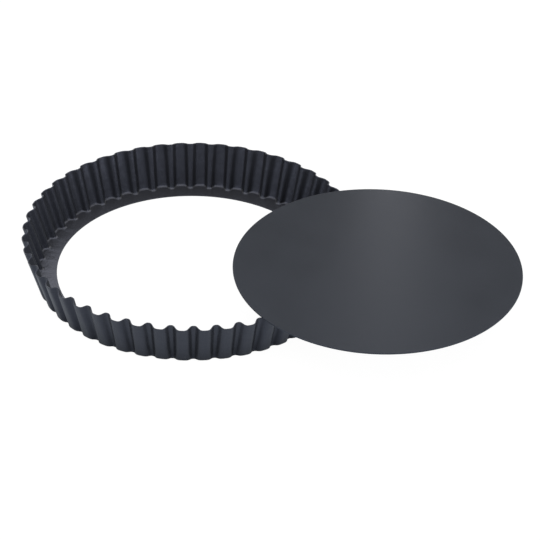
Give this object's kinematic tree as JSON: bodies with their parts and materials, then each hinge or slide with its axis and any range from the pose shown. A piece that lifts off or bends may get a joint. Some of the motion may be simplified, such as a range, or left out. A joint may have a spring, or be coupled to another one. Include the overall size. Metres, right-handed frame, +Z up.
{
  "type": "loose-bottom flan pan",
  "caption": "Round flan pan: a fluted ring with a leaning wall and an in-turned ledge, and a flat loose base, lifted out and lying across the rim.",
  "frame": {"origin": "on the table, under the middle of the box round the ring and the base that lies across its rim", "axes": "+X from the ring's axis towards the base's middle, +Z up along the ring's axis"},
  "size_m": [0.3724, 0.2498, 0.0363],
  "materials": {
    "ring_coating": "dark charcoal non-stick coating on pressed steel sheet, satin with a fine grain",
    "base_coating": "dark charcoal non-stick coating on flat steel sheet, satin with a fine grain"
  },
  "bodies": {
    "ring": {"fluted_ring": "ring_coating"},
    "base": {"loose_base": "base_coating"}
  },
  "joints": [
    {"name": "base_lift", "type": "slide", "parent": "ring", "child": "base", "axis": [0, 0, 1], "range_m": [0, 0.08]}
  ]
}
